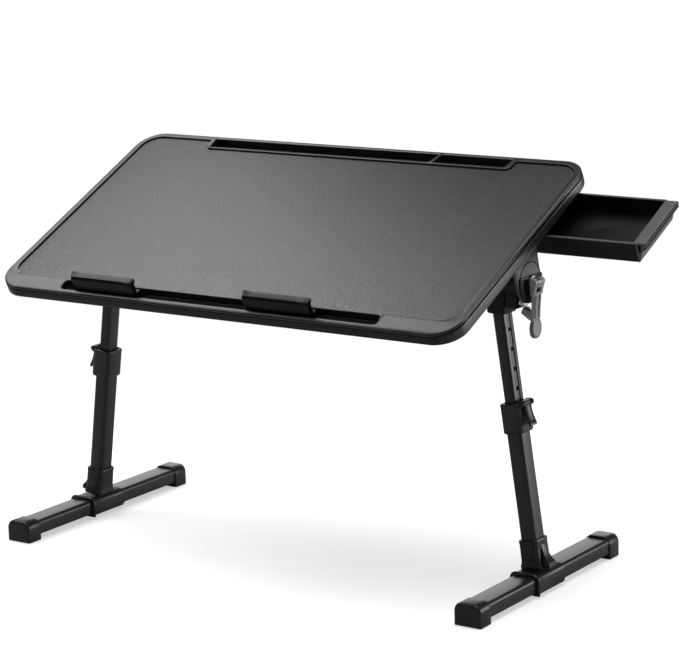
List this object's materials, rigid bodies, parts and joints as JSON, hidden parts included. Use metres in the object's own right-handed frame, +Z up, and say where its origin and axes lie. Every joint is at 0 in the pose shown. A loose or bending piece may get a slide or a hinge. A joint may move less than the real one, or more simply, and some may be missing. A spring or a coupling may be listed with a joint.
{
  "type": "folding laptop table with drawer",
  "caption": "Folding laptop bed table with a tilting leather-topped desktop, sliding stoppers, a rear device trough, a side drawer and telescopic folding legs.",
  "frame": {"origin": "on the floor under the middle of the whole object's box, as it stands with the drawer open", "axes": "+X to the user's right, +Y to the back, +Z up"},
  "size_m": [0.7317, 0.3121, 0.4398],
  "materials": {
    "laminate": "white laminate on a fibreboard panel",
    "leather": "fine-grained black synthetic leather",
    "rim": "satin black moulding",
    "housing": "fine-textured black",
    "bracket": "textured dark grey",
    "tube": "satin black powder coat",
    "moulded": "moulded black",
    "cap": "matte black, slightly soft",
    "steel": "bright zinc plate",
    "grey_lever": "moulded mid grey"
  },
  "bodies": {
    "desktop": {"desk_board": "laminate", "board_wings": "laminate", "leather_top": "leather", "side_rims": "rim", "front_rail": "rim", "rear_trough": "rim", "side_bands": "rim", "front_band": "rim", "rear_band": "rim", "drawer_housing": "housing", "runners": "housing", "housing_screws": "steel", "bracket_screws": "steel", "bracket_base_right": "bracket", "saddle_right": "bracket", "bracket_base_left": "bracket", "saddle_left": "bracket"},
    "drawer": {"drawer_tray": "housing", "drawer_front": "housing"},
    "slider_left": {"stopper_left": "moulded"},
    "slider_right": {"stopper_right": "moulded"},
    "head_right": {"yoke_right": "moulded", "barrel_right": "moulded", "clamp_boss_right": "moulded", "clamp_rod_right": "steel", "clamp_washers_right": "steel", "fold_pin_right": "steel", "lever_pin_right": "steel"},
    "lever_right": {"clamp_lever_right": "grey_lever"},
    "leg_right": {"hinge_plug_right": "moulded", "inner_tube_right": "tube"},
    "foot_right": {"outer_tube_right": "tube", "collar_right": "moulded", "lock_pin_right": "steel", "socket_right": "moulded", "foot_sleeve_right": "moulded", "foot_bar_right": "tube", "cap_front_right": "cap", "cap_rear_right": "cap"},
    "height_lever_right": {"lock_lever_right": "moulded"},
    "head_left": {"yoke_left": "moulded", "barrel_left": "moulded", "clamp_boss_left": "moulded", "clamp_rod_left": "steel", "clamp_washers_left": "steel", "fold_pin_left": "steel", "lever_pin_left": "steel"},
    "lever_left": {"clamp_lever_left": "grey_lever"},
    "leg_left": {"hinge_plug_left": "moulded", "inner_tube_left": "tube"},
    "foot_left": {"outer_tube_left": "tube", "collar_left": "moulded", "lock_pin_left": "steel", "socket_left": "moulded", "foot_sleeve_left": "moulded", "foot_bar_left": "tube", "cap_front_left": "cap", "cap_rear_left": "cap"},
    "height_lever_left": {"lock_lever_left": "moulded"}
  },
  "joints": [
    {"name": "drawer_slide", "type": "slide", "parent": "desktop", "child": "drawer", "axis": [1, 0, 0], "range_m": [-0.098, 0]},
    {"name": "stopper_slide_left", "type": "slide", "parent": "desktop", "child": "slider_left", "axis": [1, 0, 0], "range_m": [-0.012, 0.06]},
    {"name": "stopper_slide_right", "type": "slide", "parent": "desktop", "child": "slider_right", "axis": [1, 0, 0], "range_m": [-0.06, 0.074]},
    {"name": "tilt_right", "type": "hinge", "parent": "desktop", "child": "head_right", "pos_m": [0.21069, 0.00523, 0.332], "axis": [-1, 0, 0], "range_deg": [-25, 11]},
    {"name": "clamp_lever_right", "type": "hinge", "parent": "head_right", "child": "lever_right", "pos_m": [0.25689, 0.00523, 0.332], "axis": [0, -1, 0], "range_deg": [0, 90]},
    {"name": "leg_fold_right", "type": "hinge", "parent": "head_right", "child": "leg_right", "pos_m": [0.21069, 0.00523, 0.32], "axis": [0, -1, 0], "range_deg": [-84, 0]},
    {"name": "leg_height_right", "type": "slide", "parent": "leg_right", "child": "foot_right", "axis": [0.1392, 0, -0.9903], "range_m": [-0.063, 0]},
    {"name": "height_lever_right", "type": "hinge", "parent": "foot_right", "child": "height_lever_right", "pos_m": [0.24219, 0.00523, 0.20224], "axis": [0, -1, 0], "range_deg": [0, 18], "stiffness_Nm_per_rad": 0.05, "springref_deg": -5.73},
    {"name": "tilt_left", "type": "hinge", "parent": "desktop", "child": "head_left", "pos_m": [-0.30631, 0.00523, 0.332], "axis": [-1, 0, 0], "range_deg": [-25, 11]},
    {"name": "clamp_lever_left", "type": "hinge", "parent": "head_left", "child": "lever_left", "pos_m": [-0.35251, 0.00523, 0.332], "axis": [0, 1, 0], "range_deg": [0, 90]},
    {"name": "leg_fold_left", "type": "hinge", "parent": "head_left", "child": "leg_left", "pos_m": [-0.30631, 0.00523, 0.32], "axis": [0, 1, 0], "range_deg": [-84, 0]},
    {"name": "leg_height_left", "type": "slide", "parent": "leg_left", "child": "foot_left", "axis": [-0.1392, 0, -0.9903], "range_m": [-0.063, 0]},
    {"name": "height_lever_left", "type": "hinge", "parent": "foot_left", "child": "height_lever_left", "pos_m": [-0.3378, 0.00523, 0.20224], "axis": [0, 1, 0], "range_deg": [0, 18], "stiffness_Nm_per_rad": 0.05, "springref_deg": -5.73}
  ],
  "couplings": [
    {"joint": "tilt_left", "follows": "tilt_right", "ratio": 1}
  ]
}
